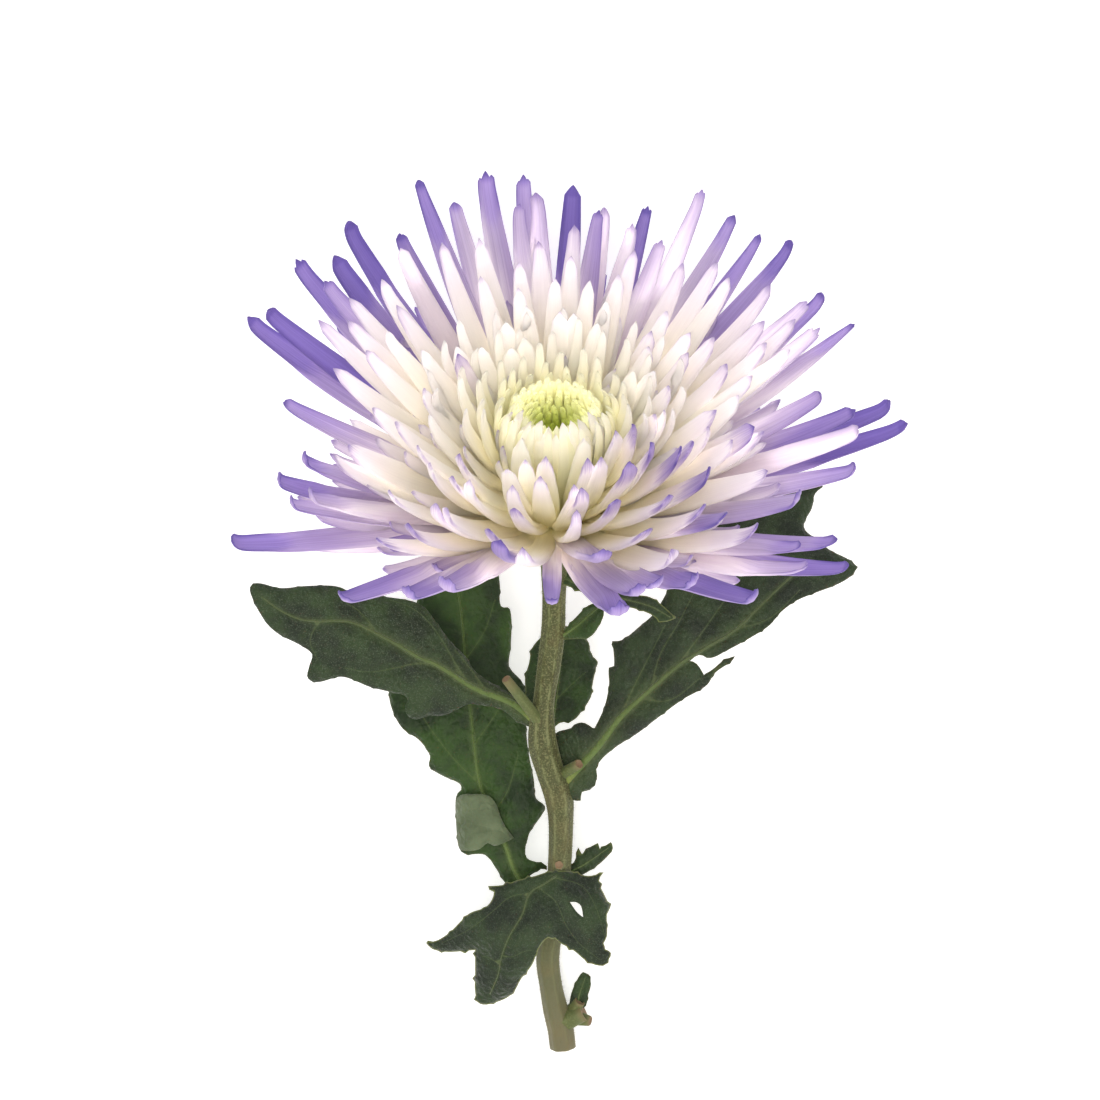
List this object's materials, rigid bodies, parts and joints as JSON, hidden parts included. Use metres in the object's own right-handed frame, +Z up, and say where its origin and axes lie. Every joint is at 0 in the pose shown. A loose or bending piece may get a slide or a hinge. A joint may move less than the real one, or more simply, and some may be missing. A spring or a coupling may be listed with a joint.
{
  "type": "spider chrysanthemum",
  "caption": "Cut spider chrysanthemum lying on a table: a wide bloom of long channelled florets round a green eye, on a short leafy stem.",
  "frame": {"origin": "on the table, below the middle of the flower's box", "axes": "+Z up from the table, +Y from the stem's cut end towards the bloom, +X to the right as seen from above"},
  "size_m": [0.1369, 0.1869, 0.1182],
  "materials": {
    "floret": "satin white floret, cream at its root and violet at its tip",
    "eye": "satin yellow-green young floret",
    "stem": "ribbed olive-brown stem with fine hairs",
    "leaf": "dark green leaf, dull with fine hairs, paler below and along its veins",
    "bract": "dark green small leaf with a pale rib"
  },
  "bodies": {
    "root": {"bloom": "floret", "bloom_eye": "eye", "stem": "stem", "leaf_left": "leaf", "leaf_back": "leaf", "leaf_right": "leaf", "leaf_rear": "leaf", "leaf_lower": "leaf", "leaf_side": "leaf", "leaf_sprout": "bract", "bract_upper": "bract", "bract_outer": "bract"}
  },
  "joints": []
}
